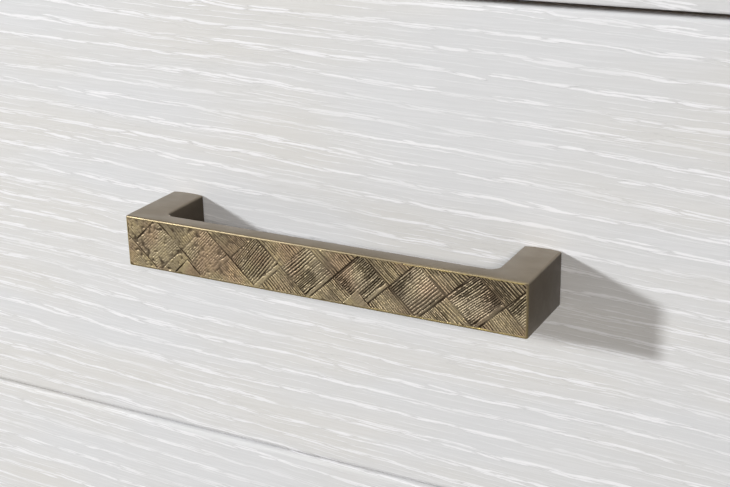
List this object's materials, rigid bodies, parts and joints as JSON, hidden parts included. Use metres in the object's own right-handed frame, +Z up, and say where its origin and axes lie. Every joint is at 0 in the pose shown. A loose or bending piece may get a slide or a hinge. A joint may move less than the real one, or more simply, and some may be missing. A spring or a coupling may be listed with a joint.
{
  "type": "nightstand",
  "caption": "Low bedside cabinet in white limed oak on tapered legs, with stacked drawers on ball slides and hatched cast bar pulls.",
  "frame": {"origin": "on the floor, under the middle of the whole piece with its pulls", "axes": "+Z up, drawers open towards -Y, +X to the right seen from the front"},
  "size_m": [0.6, 0.458, 0.6118],
  "materials": {
    "limed_oak": "white limed oak, open grain, matt lacquer",
    "drawer_wood": "pale birch, clear satin lacquer",
    "plywood": "birch plywood, clear matt lacquer",
    "antique_brass": "cast, darkened brass with worn bright edges and a scored front",
    "zinc_steel": "zinc-plated steel",
    "ball_steel": "polished bearing balls in bright steel cages",
    "glide_nylon": "dark grey nylon"
  },
  "bodies": {
    "case": {"top_panel": "limed_oak", "left_side_panel": "limed_oak", "right_side_panel": "limed_oak", "bottom_panel": "limed_oak", "mitre_splines": "drawer_wood", "back_panel": "plywood", "back_panel_screws": "zinc_steel", "front_mid_rail": "drawer_wood", "rear_mid_rail": "drawer_wood", "rail_dowels": "drawer_wood", "front_left_leg": "limed_oak", "front_right_leg": "limed_oak", "rear_left_leg": "limed_oak", "rear_right_leg": "limed_oak", "front_apron": "limed_oak", "rear_apron": "limed_oak", "left_apron": "limed_oak", "right_apron": "limed_oak", "base_screws": "zinc_steel", "leg_glides": "glide_nylon", "case_slide_screws": "zinc_steel", "upper_left_case_slide": "zinc_steel", "upper_right_case_slide": "zinc_steel", "lower_left_case_slide": "zinc_steel", "lower_right_case_slide": "zinc_steel"},
    "upper_drawer": {"upper_drawer_front": "limed_oak", "upper_box_front": "drawer_wood", "upper_box_left_side": "drawer_wood", "upper_box_right_side": "drawer_wood", "upper_box_back": "drawer_wood", "upper_box_bottom": "plywood", "upper_pull": "antique_brass", "upper_pull_screws": "zinc_steel", "upper_front_screws": "zinc_steel", "upper_left_drawer_slide": "zinc_steel", "upper_right_drawer_slide": "zinc_steel", "upper_drawer_slide_screws": "zinc_steel"},
    "upper_middle_slides": {"upper_left_middle_slide": "zinc_steel", "upper_right_middle_slide": "zinc_steel"},
    "upper_outer_balls": {"upper_outer_ball_cages": "ball_steel"},
    "upper_inner_balls": {"upper_inner_ball_cages": "ball_steel"},
    "lower_drawer": {"lower_drawer_front": "limed_oak", "lower_box_front": "drawer_wood", "lower_box_left_side": "drawer_wood", "lower_box_right_side": "drawer_wood", "lower_box_back": "drawer_wood", "lower_box_bottom": "plywood", "lower_pull": "antique_brass", "lower_pull_screws": "zinc_steel", "lower_front_screws": "zinc_steel", "lower_left_drawer_slide": "zinc_steel", "lower_right_drawer_slide": "zinc_steel", "lower_drawer_slide_screws": "zinc_steel"},
    "lower_middle_slides": {"lower_left_middle_slide": "zinc_steel", "lower_right_middle_slide": "zinc_steel"},
    "lower_outer_balls": {"lower_outer_ball_cages": "ball_steel"},
    "lower_inner_balls": {"lower_inner_ball_cages": "ball_steel"}
  },
  "joints": [
    {"name": "upper_drawer_travel", "type": "slide", "parent": "case", "child": "upper_drawer", "axis": [0, -1, 0], "range_m": [0, 0.34]},
    {"name": "upper_middle_slides_travel", "type": "slide", "parent": "case", "child": "upper_middle_slides", "axis": [0, -1, 0], "range_m": [0, 0.17]},
    {"name": "upper_outer_balls_travel", "type": "slide", "parent": "case", "child": "upper_outer_balls", "axis": [0, -1, 0], "range_m": [0, 0.085]},
    {"name": "upper_inner_balls_travel", "type": "slide", "parent": "case", "child": "upper_inner_balls", "axis": [0, -1, 0], "range_m": [0, 0.255]},
    {"name": "lower_drawer_travel", "type": "slide", "parent": "case", "child": "lower_drawer", "axis": [0, -1, 0], "range_m": [0, 0.34]},
    {"name": "lower_middle_slides_travel", "type": "slide", "parent": "case", "child": "lower_middle_slides", "axis": [0, -1, 0], "range_m": [0, 0.17]},
    {"name": "lower_outer_balls_travel", "type": "slide", "parent": "case", "child": "lower_outer_balls", "axis": [0, -1, 0], "range_m": [0, 0.085]},
    {"name": "lower_inner_balls_travel", "type": "slide", "parent": "case", "child": "lower_inner_balls", "axis": [0, -1, 0], "range_m": [0, 0.255]}
  ],
  "couplings": [
    {"joint": "upper_middle_slides_travel", "follows": "upper_drawer_travel", "ratio": 0.5},
    {"joint": "upper_outer_balls_travel", "follows": "upper_drawer_travel", "ratio": 0.25},
    {"joint": "upper_inner_balls_travel", "follows": "upper_drawer_travel", "ratio": 0.75},
    {"joint": "lower_middle_slides_travel", "follows": "lower_drawer_travel", "ratio": 0.5},
    {"joint": "lower_outer_balls_travel", "follows": "lower_drawer_travel", "ratio": 0.25},
    {"joint": "lower_inner_balls_travel", "follows": "lower_drawer_travel", "ratio": 0.75}
  ]
}
